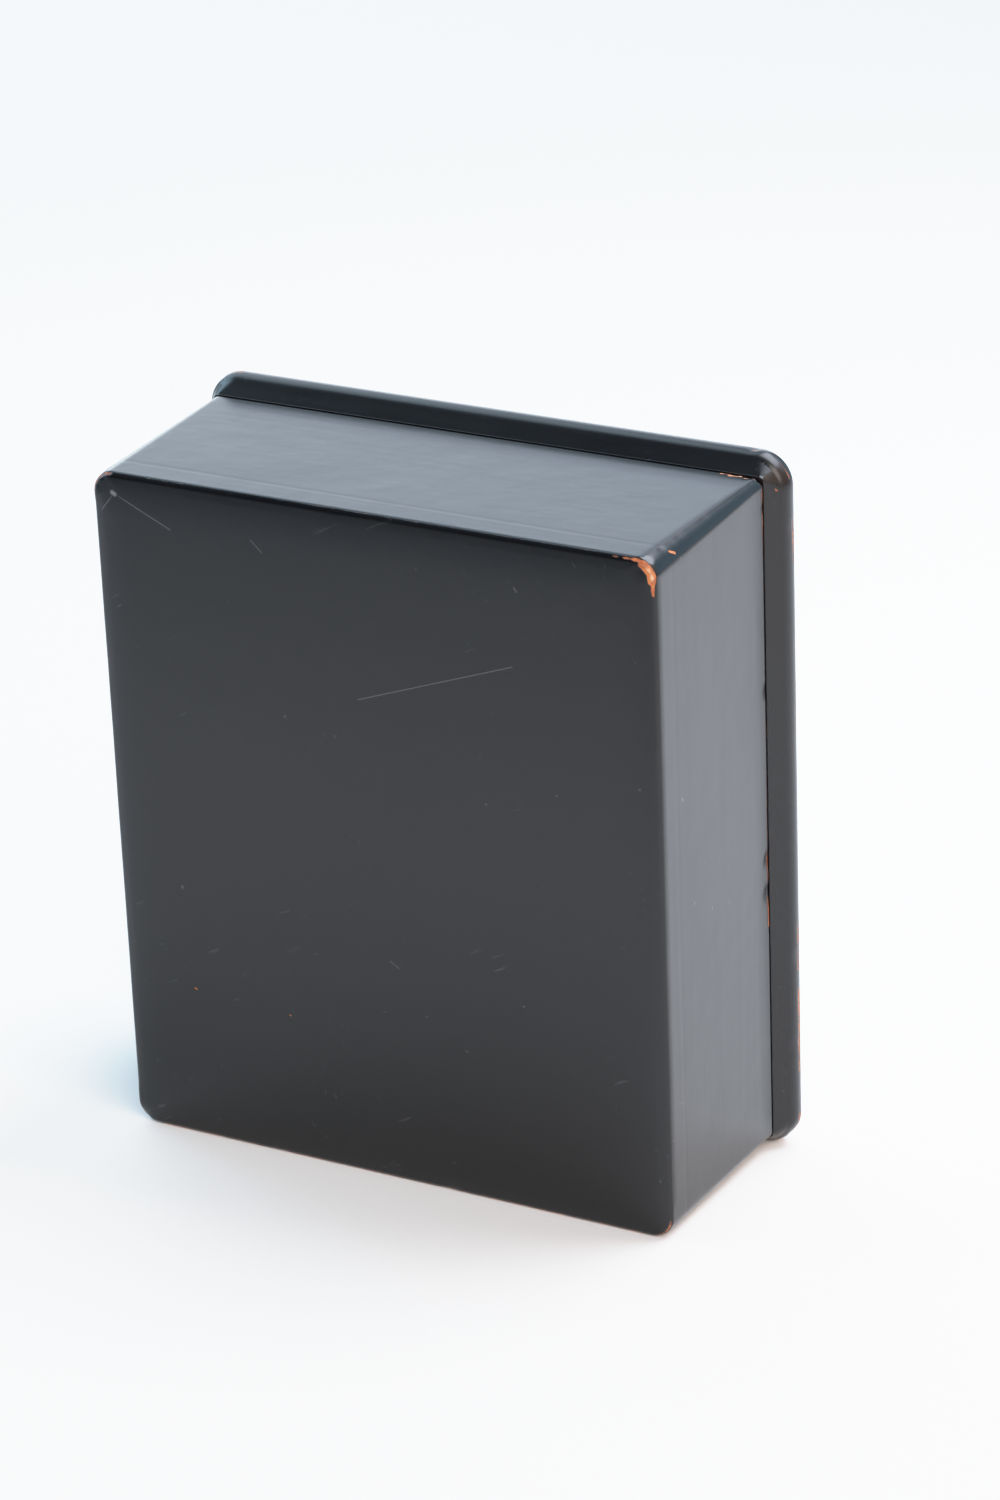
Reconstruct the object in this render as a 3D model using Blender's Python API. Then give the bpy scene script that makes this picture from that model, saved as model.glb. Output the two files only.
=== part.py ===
"""A small black lacquer box with a lift-off lid, stood on one of its short sides.

Each piece is modelled lying flat: X across the width, Y along the length, Z up from the
underside of the base to the lid, with the origin in the middle of the underside. The empty
standing_pose then turns the whole box up on a short side. The lid stands proud all round, so
the box leans: it rests on the front edge of its base and on the rounded edge of its lid.
Lengths are in metres and angles in radians.
"""
import math

import bmesh
import bpy

# Body: four walls and a base board, open at the top
BODY_WIDTH = 0.0900
BODY_LENGTH = 0.1050
BODY_DEPTH = 0.0342
WALL = 0.0040
BASE_BOARD = 0.0050
CORNER_ROUND = 0.0032
INNER_CORNER_ROUND = 0.0016
BASE_EDGE_ROUND = 0.0009
RIM_EDGE_ROUND = 0.0004

# Lid: a board with a bevelled underside, a rounded edge and a ring that drops into the mouth
LID_OVERHANG = 0.0025
LID_HEIGHT = 0.0070
LID_EDGE_ROUND = 0.0027
LID_BEVEL_ANGLE = math.radians(45)
LID_LIP = 0.0002
LID_CORNER_ROUND = 0.0052
LID_LIP_CORNER_ROUND = 0.0008
LID_BOARD = 0.0035
RING_DROP = 0.0025
RING_WALL = 0.0022
RING_CORNER_ROUND = 0.0012

# Fits
SEAT_GAP = 0.0003
RING_CLEARANCE = 0.0004

# Fineness of the round stretches
CORNER_STEPS = 8
EDGE_STEPS = 3
LID_EDGE_STEPS = 9

LACQUER_BLACK = (0.012, 0.013, 0.015, 1.0)
LACQUER_ROUGHNESS = 0.25


def clear_scene():
    for thing in list(bpy.data.objects):
        bpy.data.objects.remove(thing, do_unlink=True)


def new_collection(name):
    collection = bpy.data.collections.new(name)
    bpy.context.scene.collection.children.link(collection)
    return collection


def lacquer(name):
    material = bpy.data.materials.new(name)
    material.use_nodes = True
    shader = material.node_tree.nodes["Principled BSDF"]
    shader.inputs["Base Color"].default_value = LACQUER_BLACK
    shader.inputs["Roughness"].default_value = LACQUER_ROUGHNESS
    shader.inputs["Metallic"].default_value = 0.0
    material.diffuse_color = LACQUER_BLACK
    return material


def add_object(name, bm, collection, material=None):
    """The bmesh as a named object, smooth on its rounds and sharp on its edges."""
    mesh = bpy.data.meshes.new(name)
    bm.to_mesh(mesh)
    bm.free()
    mesh.shade_smooth()
    mesh.set_sharp_from_angle(angle=math.radians(32))
    if material:
        mesh.materials.append(material)
    thing = bpy.data.objects.new(name, mesh)
    collection.objects.link(thing)
    return thing


def is_upright(edge):
    a, b = (vert.co for vert in edge.verts)
    return abs(a.z - b.z) > abs(a.x - b.x) + abs(a.y - b.y)


def bevel(bm, edges, width, steps):
    bmesh.ops.bevel(bm, geom=edges, offset=width, offset_type="OFFSET", segments=steps,
                    profile=0.5, affect="EDGES", clamp_overlap=True)


def loop_at(bm, height):
    """The edges that lie level at one height."""
    def level(vert):
        return abs(vert.co.z - height) < 1e-6
    return [edge for edge in bm.edges if all(level(vert) for vert in edge.verts)]


def round_cornered_block(width, length, bottom, top, corner_round):
    """A block from bottom to top with its four upright edges rounded."""
    bm = bmesh.new()
    bmesh.ops.create_cube(bm, size=1.0)
    for vert in bm.verts:
        vert.co.x *= width
        vert.co.y *= length
        vert.co.z = top if vert.co.z > 0 else bottom
    bevel(bm, [edge for edge in bm.edges if is_upright(edge)], corner_round, CORNER_STEPS)
    return bm


def make_body(collection, cutters, material):
    """The body: a rounded block with its edges eased, hollowed from above."""
    bm = round_cornered_block(BODY_WIDTH, BODY_LENGTH, 0.0, BODY_DEPTH, CORNER_ROUND)
    bevel(bm, loop_at(bm, 0.0), BASE_EDGE_ROUND, EDGE_STEPS)
    bevel(bm, loop_at(bm, BODY_DEPTH), RIM_EDGE_ROUND, EDGE_STEPS)
    body = add_object("box_body", bm, collection, material)

    hollow = round_cornered_block(BODY_WIDTH - 2 * WALL, BODY_LENGTH - 2 * WALL,
                                  BASE_BOARD, BODY_DEPTH + WALL, INNER_CORNER_ROUND)
    cutter = add_object("hollow_cutter", hollow, cutters)
    cutter.hide_render = True
    cutter.display_type = "WIRE"
    cut = body.modifiers.new("Hollow", "BOOLEAN")
    cut.operation = "DIFFERENCE"
    cut.object = cutter
    return body


def plan_ring(bm, proud, height, corner_round):
    """One level outline of the lid: the body's plan grown by proud, with round corners."""
    half_width = BODY_WIDTH / 2 + proud - corner_round
    half_length = BODY_LENGTH / 2 + proud - corner_round
    corners = ((half_width, half_length), (-half_width, half_length),
               (-half_width, -half_length), (half_width, -half_length))
    verts = []
    for quarter, (middle_x, middle_y) in enumerate(corners):
        for step in range(CORNER_STEPS + 1):
            angle = (quarter + step / CORNER_STEPS) * math.pi / 2
            verts.append(bm.verts.new((middle_x + corner_round * math.cos(angle),
                                       middle_y + corner_round * math.sin(angle), height)))
    return verts


def lid_outlines():
    """The lid's outlines from the ring's inner edge, round the outside, to the top face.

    Each is how far it stands proud of the body, its height and its corner radius.
    """
    seat = BODY_DEPTH + SEAT_GAP
    top = BODY_DEPTH + LID_HEIGHT
    ring_out = -(WALL + RING_CLEARANCE)
    ring_in = ring_out - RING_WALL
    ring_in_round = max(RING_CORNER_ROUND - RING_WALL / 2, RING_CORNER_ROUND / 2)
    outlines = [
        (ring_in, top - LID_BOARD, ring_in_round),
        (ring_in, seat - RING_DROP, ring_in_round),
        (ring_out, seat - RING_DROP, RING_CORNER_ROUND),
        (ring_out, seat, RING_CORNER_ROUND),
        (0.0, seat, LID_LIP_CORNER_ROUND),
        (0.0, seat + LID_LIP, LID_LIP_CORNER_ROUND),
    ]
    round_proud = LID_OVERHANG - LID_EDGE_ROUND
    round_height = top - LID_EDGE_ROUND
    for step in range(LID_EDGE_STEPS + 1):
        turn = LID_BEVEL_ANGLE + (math.pi - LID_BEVEL_ANGLE) * step / LID_EDGE_STEPS
        proud = round_proud + LID_EDGE_ROUND * math.sin(turn)
        height = round_height - LID_EDGE_ROUND * math.cos(turn)
        outlines.append((proud, height, LID_CORNER_ROUND - (LID_OVERHANG - proud)))
    return outlines


def make_lid(collection, material):
    """The lid: a loft through its outlines, whose corners change radius from lip to edge."""
    bm = bmesh.new()
    rings = [plan_ring(bm, *outline) for outline in lid_outlines()]
    for lower, upper in zip(rings, rings[1:]):
        for here in range(len(lower)):
            after = (here + 1) % len(lower)
            bm.faces.new((lower[here], lower[after], upper[after], upper[here]))
    bm.faces.new(rings[0])
    bm.faces.new(rings[-1])
    bmesh.ops.recalc_face_normals(bm, faces=bm.faces)
    return add_object("lid", bm, collection, material)


def lean_angle():
    """How far the box leans: the floor line touches the base's edge round and the lid's."""
    along = BODY_DEPTH + LID_HEIGHT - LID_EDGE_ROUND - BASE_EDGE_ROUND
    across = BASE_EDGE_ROUND - (LID_EDGE_ROUND - LID_OVERHANG)
    apart = math.hypot(along, across)
    return math.atan2(across, along) + math.asin((LID_EDGE_ROUND - BASE_EDGE_ROUND) / apart)


def world_corners(thing):
    evaluated = thing.evaluated_get(bpy.context.evaluated_depsgraph_get())
    mesh = evaluated.to_mesh()
    points = [evaluated.matrix_world @ vert.co for vert in mesh.vertices]
    evaluated.to_mesh_clear()
    low = [min(point[axis] for point in points) for axis in range(3)]
    high = [max(point[axis] for point in points) for axis in range(3)]
    return low, high


def stand_up(pieces, collection):
    """Turns the box up on its short side, resting on the floor with the origin under its middle."""
    pose = bpy.data.objects.new("standing_pose", None)
    collection.objects.link(pose)
    for piece in pieces:
        piece.parent = pose
    pose.rotation_euler = (lean_angle() - math.pi / 2, 0.0, 0.0)
    bpy.context.view_layer.update()
    boxes = [world_corners(piece) for piece in pieces if piece.type == "MESH" and not piece.hide_render]
    low = [min(box[0][axis] for box in boxes) for axis in range(3)]
    high = [max(box[1][axis] for box in boxes) for axis in range(3)]
    pose.location = (-(low[0] + high[0]) / 2, -(low[1] + high[1]) / 2, -low[2])
    bpy.context.view_layer.update()


def main():
    clear_scene()
    collection = new_collection("lacquer_box")
    cutters = new_collection("cutters")
    body = make_body(collection, cutters, lacquer("body_lacquer"))
    lid = make_lid(collection, lacquer("lid_lacquer"))
    stand_up([body, lid, *cutters.objects], collection)


main()
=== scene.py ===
"""The looks of a small black lacquer box with a lift-off lid, stood on one of its short sides.

Each piece is shaped lying flat, as a maker would hold it: X across the width, Y along the
length, Z up from the underside of the base to the lid, with the origin in the middle of the
underside. Its mesh is then stood up where the frame has it. The short side that ends up on
top is the one at -Y. Lengths are in metres and angles in radians unless a name says otherwise.
"""
import math

import bpy
import numpy as np
from mathutils import Matrix, Vector, noise


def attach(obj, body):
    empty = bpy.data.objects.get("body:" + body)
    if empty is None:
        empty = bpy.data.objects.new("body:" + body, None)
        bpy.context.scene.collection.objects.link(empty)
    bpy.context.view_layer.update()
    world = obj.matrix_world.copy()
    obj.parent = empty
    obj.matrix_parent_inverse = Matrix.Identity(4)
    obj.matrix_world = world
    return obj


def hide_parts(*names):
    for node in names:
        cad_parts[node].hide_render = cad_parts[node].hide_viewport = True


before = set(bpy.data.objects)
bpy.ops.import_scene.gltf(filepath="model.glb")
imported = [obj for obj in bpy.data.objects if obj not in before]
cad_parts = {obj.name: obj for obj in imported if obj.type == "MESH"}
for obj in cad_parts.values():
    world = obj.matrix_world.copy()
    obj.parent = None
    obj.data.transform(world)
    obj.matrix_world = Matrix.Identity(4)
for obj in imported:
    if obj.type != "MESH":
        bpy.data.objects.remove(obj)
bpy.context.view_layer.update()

# Body, as in the part's source
BODY_WIDTH = 0.0900
BODY_LENGTH = 0.1050
BODY_DEPTH = 0.0342
WALL = 0.0040
BASE_BOARD = 0.0050
CORNER_ROUND = 0.0032
INNER_CORNER_ROUND = 0.0016
BASE_EDGE_ROUND = 0.0009
RIM_EDGE_ROUND = 0.0004

# Lid, as in the part's source
LID_OVERHANG = 0.0025
LID_HEIGHT = 0.0070
LID_EDGE_ROUND = 0.0027
LID_BEVEL_ANGLE = math.radians(45)
LID_LIP = 0.0002
LID_CORNER_ROUND = 0.0052
LID_LIP_CORNER_ROUND = 0.0008
LID_BOARD = 0.0035
RING_DROP = 0.0025
RING_WALL = 0.0022
RING_CORNER_ROUND = 0.0012
SEAT_GAP = 0.0003
RING_CLEARANCE = 0.0004

# Fineness of the two shells
CORNER_STEPS = 16
SIDE_STEPS = 150
MERGE_DISTANCE = 2e-7
SHARP_ANGLE = math.radians(38)

# The underside rolls off towards its edges, over this reach and by this depth
ROLL_REACH = 0.0095
ROLL_DEPTH = 0.00045
ROLL_POWER = 4

# The lacquer stands a little thicker by the rim on the long sides, over this reach, and the
# upright corners are tighter at the rim than at the base
RIM_SWELL = 0.0001
SWELL_REACH = 0.0025
RIM_CORNER_ROUND = 0.0015

# Camera
CAMERA_PLACE = (0.32606, -0.59057, 0.31560)
CAMERA_TURN_DEGREES = (69.3845, 0.2637, 28.1714)
LENS_MM = 118.79
SENSOR_MM = 36.0
CLIP_START = 0.01

MM = 0.001


def lean_angle():
    """How far the box leans: the floor line touches the base's edge round and the lid's."""
    along = BODY_DEPTH + LID_HEIGHT - LID_EDGE_ROUND - BASE_EDGE_ROUND
    across = BASE_EDGE_ROUND - (LID_EDGE_ROUND - LID_OVERHANG)
    apart = math.hypot(along, across)
    return math.atan2(across, along) + math.asin((LID_EDGE_ROUND - BASE_EDGE_ROUND) / apart)


def standing_place():
    """The place and turn that stand a flat-lying mesh up on the floor, over the origin."""
    lean = lean_angle()
    sine, cosine = math.sin(lean), math.cos(lean)
    half = BODY_LENGTH / 2
    base_edge, lid_edge = BASE_EDGE_ROUND, LID_EDGE_ROUND
    height = (half - base_edge) * cosine - base_edge * sine + base_edge
    near = (base_edge - half) * sine + base_edge * cosine - base_edge
    far = ((half + LID_OVERHANG - lid_edge) * sine
           + (BODY_DEPTH + LID_HEIGHT - lid_edge) * cosine + lid_edge)
    return Vector((0.0, -(near + far) / 2, height)), lean - math.pi / 2


PLACE, TURN = standing_place()
STAND_UP = Matrix.Translation(PLACE) @ Matrix.Rotation(TURN, 4, "X")


# Node helpers

def feed(tree, value, socket):
    """Joins another node's socket, or sets a plain value."""
    if isinstance(value, bpy.types.NodeSocket):
        tree.links.new(value, socket)
    elif value is not None:
        socket.default_value = value


def add(tree, kind, inputs=None, **settings):
    """A new node with its settings and inputs, each input a value or another node's socket."""
    node = tree.nodes.new(kind)
    for name, value in settings.items():
        setattr(node, name, value)
    for name, value in (inputs or {}).items():
        feed(tree, value, node.inputs[name])
    return node


def calc(tree, operation, *values, clamp=False):
    """One step of sums."""
    node = tree.nodes.new("ShaderNodeMath")
    node.operation = operation
    node.use_clamp = clamp
    for socket, value in zip(node.inputs, values):
        feed(tree, value, socket)
    return node.outputs[0]


def vector_calc(tree, operation, *values, scale=None):
    """One step of sums on vectors: puts out a number for a dot product or a length."""
    node = tree.nodes.new("ShaderNodeVectorMath")
    node.operation = operation
    for socket, value in zip(node.inputs, values):
        feed(tree, value, socket)
    if scale is not None:
        feed(tree, scale, node.inputs["Scale"])
    gives_number = operation in {"DOT_PRODUCT", "LENGTH"}
    return node.outputs["Value" if gives_number else "Vector"]


def ease(tree, value, low, high, low_value=0.0, high_value=1.0):
    """A smooth step from low to high."""
    node = add(tree, "ShaderNodeMapRange", {"Value": value, "From Min": low, "From Max": high,
                                            "To Min": low_value, "To Max": high_value},
               interpolation_type="SMOOTHSTEP")
    return node.outputs["Result"]


def mix_colours(tree, share, first, second):
    """The first colour where share is 0, the second where it is 1."""
    node = add(tree, "ShaderNodeMix", data_type="RGBA")
    feed(tree, share, node.inputs[0])
    feed(tree, first, node.inputs[6])
    feed(tree, second, node.inputs[7])
    return node.outputs[2]


def mix_values(tree, share, first, second):
    """The first number where share is 0, the second where it is 1."""
    node = add(tree, "ShaderNodeMix", data_type="FLOAT")
    feed(tree, share, node.inputs[0])
    feed(tree, first, node.inputs[2])
    feed(tree, second, node.inputs[3])
    return node.outputs[0]


def soft_noise(tree, place, scale, detail, roughness=0.5):
    """Noise from 0 to 1, as fine as scale says to the metre."""
    return add(tree, "ShaderNodeTexNoise", {"Vector": place, "Scale": scale, "Detail": detail,
                                            "Roughness": roughness}).outputs[0]


def new_group(name, kind, inputs, outputs):
    """An empty node group with its sockets, given as (name, type) or (name, type, value)."""
    group = bpy.data.node_groups.new(name, kind)
    for entry in inputs:
        socket = group.interface.new_socket(entry[0], in_out="INPUT", socket_type=entry[1])
        if len(entry) > 2:
            socket.default_value = entry[2]
    for entry in outputs:
        group.interface.new_socket(entry[0], in_out="OUTPUT", socket_type=entry[1])
    start = group.nodes.new("NodeGroupInput").outputs
    end = group.nodes.new("NodeGroupOutput").inputs
    return group, start, end


def place_group(tree, group, inputs):
    """The outputs of one use of a group."""
    node = tree.nodes.new("ShaderNodeGroup")
    node.node_tree = group
    for name, value in inputs.items():
        feed(tree, value, node.inputs[name])
    return node.outputs


# The loft: one round-cornered outline for each point of a section

def corner_signs(tree, quarter):
    """Which way the middle of one corner lies: +1 or -1 along X and along Y."""
    angle = calc(tree, "MULTIPLY", calc(tree, "ADD", quarter, 0.5), math.pi / 2)
    return (calc(tree, "SIGN", calc(tree, "COSINE", angle)),
            calc(tree, "SIGN", calc(tree, "SINE", angle)))


def build_loft_tree():
    """A shell lofted through level outlines, each the plan grown by proud with round corners."""
    tree, start, end = new_group("round_cornered_loft", "GeometryNodeTree", [
        ("Section", "NodeSocketObject"),
        ("Rings", "NodeSocketInt", 10),
        ("Width", "NodeSocketFloat", BODY_WIDTH),
        ("Length", "NodeSocketFloat", BODY_LENGTH),
        ("Corner Steps", "NodeSocketInt", CORNER_STEPS),
        ("Side Steps", "NodeSocketInt", SIDE_STEPS),
        ("Finish", "NodeSocketMaterial"),
    ], [("Shell", "NodeSocketGeometry")])
    corner_steps, side_steps = start["Corner Steps"], start["Side Steps"]
    quarter_steps = calc(tree, "ADD", corner_steps, side_steps)
    around = calc(tree, "ADD", calc(tree, "MULTIPLY", quarter_steps, 4.0), 1.0)
    sheet = add(tree, "GeometryNodeMeshGrid", {
        "Size X": 1.0, "Size Y": 1.0, "Vertices X": start["Rings"], "Vertices Y": around})
    on_sheet = add(tree, "GeometryNodeInputPosition").outputs[0]
    where = add(tree, "ShaderNodeSeparateXYZ", {0: on_sheet})
    ring = calc(tree, "ROUND", calc(tree, "MULTIPLY", calc(tree, "ADD", where.outputs["X"], 0.5),
                                    calc(tree, "SUBTRACT", start["Rings"], 1.0)))
    step = calc(tree, "ROUND", calc(tree, "MULTIPLY", calc(tree, "ADD", where.outputs["Y"], 0.5),
                                    calc(tree, "SUBTRACT", around, 1.0)))

    drawn = add(tree, "GeometryNodeObjectInfo", {"Object": start["Section"]})
    point = add(tree, "GeometryNodeSampleIndex", {"Geometry": drawn.outputs["Geometry"]},
                data_type="FLOAT_VECTOR", domain="POINT")
    feed(tree, add(tree, "GeometryNodeInputPosition").outputs[0], point.inputs["Value"])
    feed(tree, ring, point.inputs["Index"])
    section = add(tree, "ShaderNodeSeparateXYZ", {0: point.outputs["Value"]})
    proud, corner_round, height = section.outputs

    quarter = calc(tree, "FLOOR",
                   calc(tree, "DIVIDE", calc(tree, "ADD", step, 0.25), quarter_steps))
    within = calc(tree, "SUBTRACT", step, calc(tree, "MULTIPLY", quarter, quarter_steps))
    arc = calc(tree, "DIVIDE", calc(tree, "MINIMUM", within, corner_steps), corner_steps)
    past_corner = calc(tree, "MAXIMUM", calc(tree, "SUBTRACT", within, corner_steps), 0.0)
    slide = calc(tree, "DIVIDE", past_corner, side_steps)
    angle = calc(tree, "MULTIPLY", calc(tree, "ADD", quarter, arc), math.pi / 2)
    here = corner_signs(tree, quarter)
    after = corner_signs(tree, calc(tree, "ADD", quarter, 1.0))
    turned = (calc(tree, "COSINE", angle), calc(tree, "SINE", angle))
    places = []
    for axis, size in enumerate(("Width", "Length")):
        half = calc(tree, "SUBTRACT",
                    calc(tree, "ADD", calc(tree, "MULTIPLY", start[size], 0.5), proud),
                    corner_round)
        side = mix_values(tree, slide, here[axis], after[axis])
        places.append(calc(tree, "ADD", calc(tree, "MULTIPLY", half, side),
                           calc(tree, "MULTIPLY", corner_round, turned[axis])))
    position = add(tree, "ShaderNodeCombineXYZ", {0: places[0], 1: places[1], 2: height})
    shaped = add(tree, "GeometryNodeSetPosition", {
        "Geometry": sheet.outputs["Mesh"], "Position": position.outputs[0]})
    closed = add(tree, "GeometryNodeMergeByDistance", {
        "Geometry": shaped.outputs[0], "Distance": MERGE_DISTANCE})
    outward = add(tree, "GeometryNodeFlipFaces", {"Mesh": closed.outputs[0]})
    smooth = add(tree, "GeometryNodeSetShadeSmooth", {"Geometry": outward.outputs[0]})
    whole = add(tree, "GeometryNodeRealizeInstances", {"Geometry": smooth.outputs[0]})
    finished = add(tree, "GeometryNodeSetMaterial", {
        "Geometry": whole.outputs[0], "Material": start["Finish"]})
    feed(tree, finished.outputs[0], end[0])
    return tree


def between(start, end, share):
    """The number that lies a share of the way from start to end."""
    return start + (end - start) * share


def spaced(start, end, steps):
    """Places from start to end, close together near both."""
    return [between(start, end, (1 - math.cos(math.pi * step / steps)) / 2)
            for step in range(steps + 1)]


def round_edge(middle_proud, middle_height, radius, from_angle, to_angle, steps):
    """Section points on an arc; the angle is 0 straight down and a quarter turn straight out."""
    points = []
    for step in range(steps + 1):
        angle = between(from_angle, to_angle, step / steps)
        points.append((middle_proud + radius * math.sin(angle),
                       middle_height - radius * math.cos(angle)))
    return points


# How far in from the edge the rings of a flat face lie, from the middle outwards, and how fast
# their corners grow
FLAT_INSETS = (BODY_WIDTH / 2, 0.0340, 0.0240, 0.0165, 0.0125, 0.0102, 0.0085, 0.0070, 0.0058,
               0.0048, 0.0040, 0.0033, 0.0027, 0.0022, 0.0018, 0.0014, 0.0011)
FLAT_CORNER_GROWTH = 0.6
LID_BOARD_INSET = 0.0080


def flat_corner(inset, edge_inset, edge_corner):
    """The corner radius of a flat face's ring: it grows inwards, then closes at the middle."""
    growing = edge_corner + FLAT_CORNER_GROWTH * (inset - edge_inset)
    closing = FLAT_CORNER_GROWTH * (BODY_WIDTH / 2 - inset)
    return max(min(growing, closing), 0.0)


def rolled(inset, edge_inset):
    """How far the underside has rolled up at an inset from its edge."""
    return ROLL_DEPTH * max(1 - (inset - edge_inset) / ROLL_REACH, 0.0) ** ROLL_POWER


def corner_at(height):
    """The body's corner radius at a height."""
    return between(CORNER_ROUND, RIM_CORNER_ROUND, height / BODY_DEPTH)


def body_section():
    """From the middle of the underside, up the wall, over the rim, down to the floor inside."""
    quarter = math.pi / 2
    base, rim = BASE_EDGE_ROUND, RIM_EDGE_ROUND
    slope = math.atan(ROLL_POWER * ROLL_DEPTH / ROLL_REACH)
    edge_inset = base - base * math.sin(slope)
    edge_corner = corner_at(0.0) - edge_inset
    points = [(-inset, flat_corner(inset, edge_inset, edge_corner), rolled(inset, edge_inset))
              for inset in FLAT_INSETS]
    middle_height = ROLL_DEPTH + base * math.cos(slope)
    for proud, height in round_edge(-base, middle_height, base, slope, quarter, 9):
        points.append((proud, corner_at(height) + proud, height))
    for height in spaced(middle_height, BODY_DEPTH - rim, 40)[1:-1]:
        points.append((0.0, corner_at(height), height))
    for proud, height in round_edge(-rim, BODY_DEPTH - rim, rim, quarter, 2 * quarter, 6):
        points.append((proud, RIM_CORNER_ROUND + proud, height))
    for proud in spaced(-rim, -WALL + rim, 6)[1:-1]:
        corner_round = between(RIM_CORNER_ROUND, INNER_CORNER_ROUND, -proud / WALL)
        points.append((proud, corner_round, BODY_DEPTH))
    for proud, height in round_edge(-WALL + rim, BODY_DEPTH - rim, rim,
                                    2 * quarter, 3 * quarter, 4):
        points.append((proud, INNER_CORNER_ROUND, height))
    for height in spaced(BODY_DEPTH - rim, BASE_BOARD + rim, 14)[1:-1]:
        points.append((-WALL, INNER_CORNER_ROUND, height))
    for proud, height in round_edge(-WALL - rim, BASE_BOARD + rim, rim, quarter, 0.0, 4):
        points.append((proud, INNER_CORNER_ROUND - WALL - proud, height))
    for inset in reversed(FLAT_INSETS):
        if inset > WALL + 2 * rim:
            corner_round = flat_corner(inset, WALL + rim, INNER_CORNER_ROUND - rim)
            points.append((-inset, corner_round, BASE_BOARD))
    return points


def lid_section():
    """From the middle of the lid's inside, round the ring and along the flank, to the top."""
    seat = BODY_DEPTH + SEAT_GAP
    top = BODY_DEPTH + LID_HEIGHT
    board = top - LID_BOARD
    ring_out = -(WALL + RING_CLEARANCE)
    ring_in = ring_out - RING_WALL
    ring_in_round = RING_CORNER_ROUND / 2
    points = [(-inset, 0.0, board) for inset in FLAT_INSETS if inset > LID_BOARD_INSET]
    points.append((ring_in - 2 * RIM_EDGE_ROUND, 0.0, board))
    for height in spaced(board, seat - RING_DROP, 8):
        points.append((ring_in, ring_in_round, height))
    for proud in spaced(ring_in, ring_out, 4)[1:]:
        corner_round = between(ring_in_round, RING_CORNER_ROUND, (proud - ring_in) / RING_WALL)
        points.append((proud, corner_round, seat - RING_DROP))
    for height in spaced(seat - RING_DROP, seat, 5)[1:]:
        points.append((ring_out, RING_CORNER_ROUND, height))
    for proud in spaced(ring_out, 0.0, 6)[1:]:
        share = (proud - ring_out) / -ring_out
        corner_round = between(RING_CORNER_ROUND, LID_LIP_CORNER_ROUND, share)
        points.append((proud, corner_round, seat))
    flank_foot = seat + LID_LIP
    points.append((0.0, LID_LIP_CORNER_ROUND, flank_foot))
    middle_proud = LID_OVERHANG - LID_EDGE_ROUND
    middle_height = top - LID_EDGE_ROUND
    edge = round_edge(middle_proud, middle_height, LID_EDGE_ROUND, LID_BEVEL_ANGLE, math.pi, 26)
    flank_proud, flank_height = edge[0]

    def corner(proud):
        return LID_CORNER_ROUND - (LID_OVERHANG - proud)

    flank_steps = 10
    for step in range(1, flank_steps):
        share = step / flank_steps
        points.append((flank_proud * share,
                       between(LID_LIP_CORNER_ROUND, corner(flank_proud), share),
                       between(flank_foot, flank_height, share)))
    for proud, height in edge:
        points.append((proud, corner(proud), height))
    for inset in reversed(FLAT_INSETS):
        if inset > LID_EDGE_ROUND - LID_OVERHANG + RIM_EDGE_ROUND:
            points.append((-inset, flat_corner(inset, -middle_proud, corner(middle_proud)), top))
    return points


def loft(name, section, finish):
    """The shell through a section, as a plain flat-lying mesh."""
    drawn = bpy.data.meshes.new(name + "_section")
    drawn.from_pydata(section, [(i, i + 1) for i in range(len(section) - 1)], [])
    section_line = bpy.data.objects.new(name + "_section", drawn)
    bpy.context.scene.collection.objects.link(section_line)
    maker = bpy.data.objects.new(name + "_maker", bpy.data.meshes.new(name + "_maker"))
    bpy.context.scene.collection.objects.link(maker)
    modifier = maker.modifiers.new("Loft", "NODES")
    modifier.node_group = LOFT
    sockets = {item.name: item.identifier for item in LOFT.interface.items_tree
               if item.in_out == "INPUT"}
    values = {"Section": section_line, "Rings": len(section), "Width": BODY_WIDTH,
              "Length": BODY_LENGTH, "Corner Steps": CORNER_STEPS, "Side Steps": SIDE_STEPS,
              "Finish": finish}
    for key, value in values.items():
        modifier[sockets[key]] = value
    graph = bpy.context.evaluated_depsgraph_get()
    mesh = bpy.data.meshes.new_from_object(maker.evaluated_get(graph), depsgraph=graph)
    maker.modifiers.remove(modifier)
    for thing in (maker, section_line):
        bpy.data.objects.remove(thing, do_unlink=True)
    mesh.name = name
    return mesh


# Wear in the shape: (x, y, z, reach, depth) in mm, where wood has gone from an edge or corner

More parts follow.
